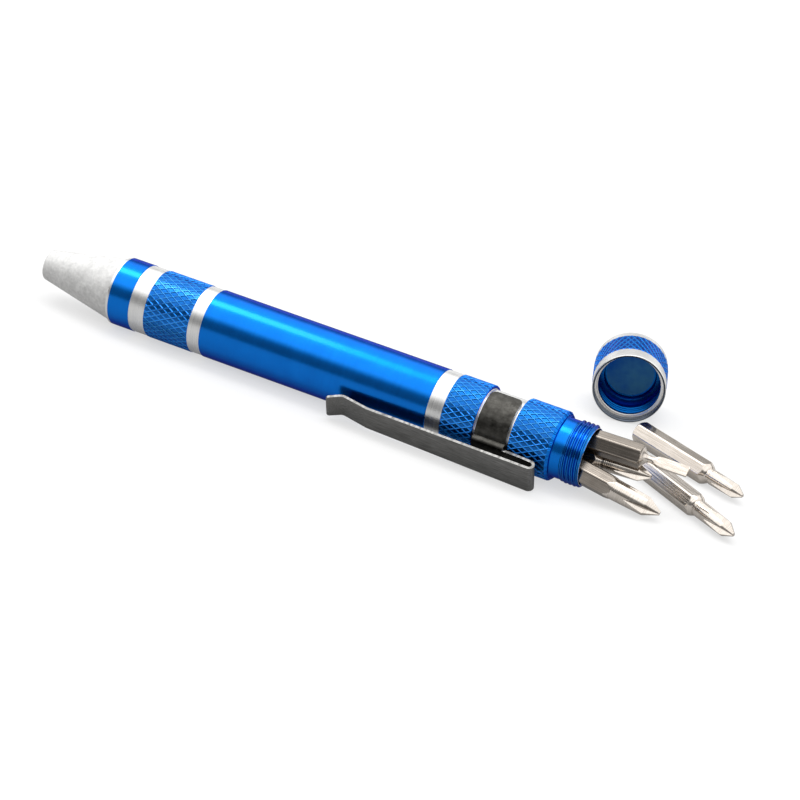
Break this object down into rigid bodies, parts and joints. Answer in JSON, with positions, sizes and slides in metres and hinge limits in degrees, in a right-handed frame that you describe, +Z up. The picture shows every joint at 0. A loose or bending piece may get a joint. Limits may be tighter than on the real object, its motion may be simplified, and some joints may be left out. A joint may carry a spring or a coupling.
{
  "type": "pocket screwdriver",
  "caption": "Pen-style pocket screwdriver: knurled aluminium barrel with a hex bit socket in its nose, a spring pocket clip, a screw cap taken off and hex bits that store inside.",
  "frame": {"origin": "centre of the bit socket's mouth, on the barrel's axis at the tip of the nose", "axes": "+X along the barrel from the nose to its open end, +Z up from the table it lies on, +Y to the side where the cap lies"},
  "size_m": [0.1408, 0.0537, 0.014],
  "materials": {
    "blue_anodised": "bright anodised, knurled in bands",
    "bare_aluminium": "bead blasted",
    "spring_steel": "dark, brushed along the strip",
    "plated_steel": "bright plating over turned steel",
    "magnet": "plain"
  },
  "bodies": {
    "barrel": {"barrel": "blue_anodised", "nose_cone": "bare_aluminium", "socket_magnet": "magnet"},
    "clip": {"clip_ring": "spring_steel"},
    "clip_arm": {"clip_arm": "spring_steel"},
    "cap": {"cap": "blue_anodised"},
    "slotted_bit": {"slotted_bit": "plated_steel"},
    "cross_bit_wide": {"cross_bit_wide": "plated_steel"},
    "cross_bit_mid": {"cross_bit_mid": "plated_steel"},
    "cross_bit_front": {"cross_bit_front": "plated_steel"},
    "cross_bit_rear": {"cross_bit_rear": "plated_steel"},
    "stored_slotted_bit": {"stored_slotted_bit": "plated_steel"},
    "stored_cross_bit": {"stored_cross_bit": "plated_steel"},
    "stored_star_bit": {"stored_star_bit": "plated_steel"}
  },
  "joints": [
    {"name": "clip_swivel", "type": "hinge", "parent": "barrel", "child": "clip", "pos_m": [0.09505, 0, 0], "axis": [1, 0, 0], "continuous": true},
    {"name": "clip_flex", "type": "hinge", "parent": "clip", "child": "clip_arm", "pos_m": [0.10415, -0.00823, -0.00339], "axis": [0, -0.3811, 0.9245], "range_deg": [0, 3.5], "stiffness_Nm_per_rad": 1.2},
    {"name": "cap_lift", "type": "slide", "parent": "barrel", "child": "cap", "axis": [-0.3256, 0.9455, 0], "range_m": [0, 0.03]},
    {"name": "slotted_bit_slide", "type": "slide", "parent": "barrel", "child": "slotted_bit", "axis": [0.9991, 0.0419, 0.0052], "range_m": [-0.01, 0.009]},
    {"name": "cross_bit_wide_slide", "type": "slide", "parent": "barrel", "child": "cross_bit_wide", "axis": [1, 0, 0], "range_m": [0, 0.011]},
    {"name": "cross_bit_mid_slide", "type": "slide", "parent": "barrel", "child": "cross_bit_mid", "axis": [1, 0, 0], "range_m": [-0.003, 0.008]},
    {"name": "cross_bit_front_slide", "type": "slide", "parent": "barrel", "child": "cross_bit_front", "axis": [-0.8499, 0.527, 0], "range_m": [0, 0.015]},
    {"name": "cross_bit_rear_slide", "type": "slide", "parent": "barrel", "child": "cross_bit_rear", "axis": [0.9143, -0.4051, 0], "range_m": [0, 0.015]},
    {"name": "stored_slotted_bit_slide", "type": "slide", "parent": "barrel", "child": "stored_slotted_bit", "axis": [1, 0, 0], "range_m": [-0.02, 0.006]},
    {"name": "stored_cross_bit_slide", "type": "slide", "parent": "barrel", "child": "stored_cross_bit", "axis": [1, 0, 0], "range_m": [-0.02, 0.006]},
    {"name": "stored_star_bit_slide", "type": "slide", "parent": "barrel", "child": "stored_star_bit", "axis": [1, 0, 0], "range_m": [-0.02, 0.006]}
  ]
}
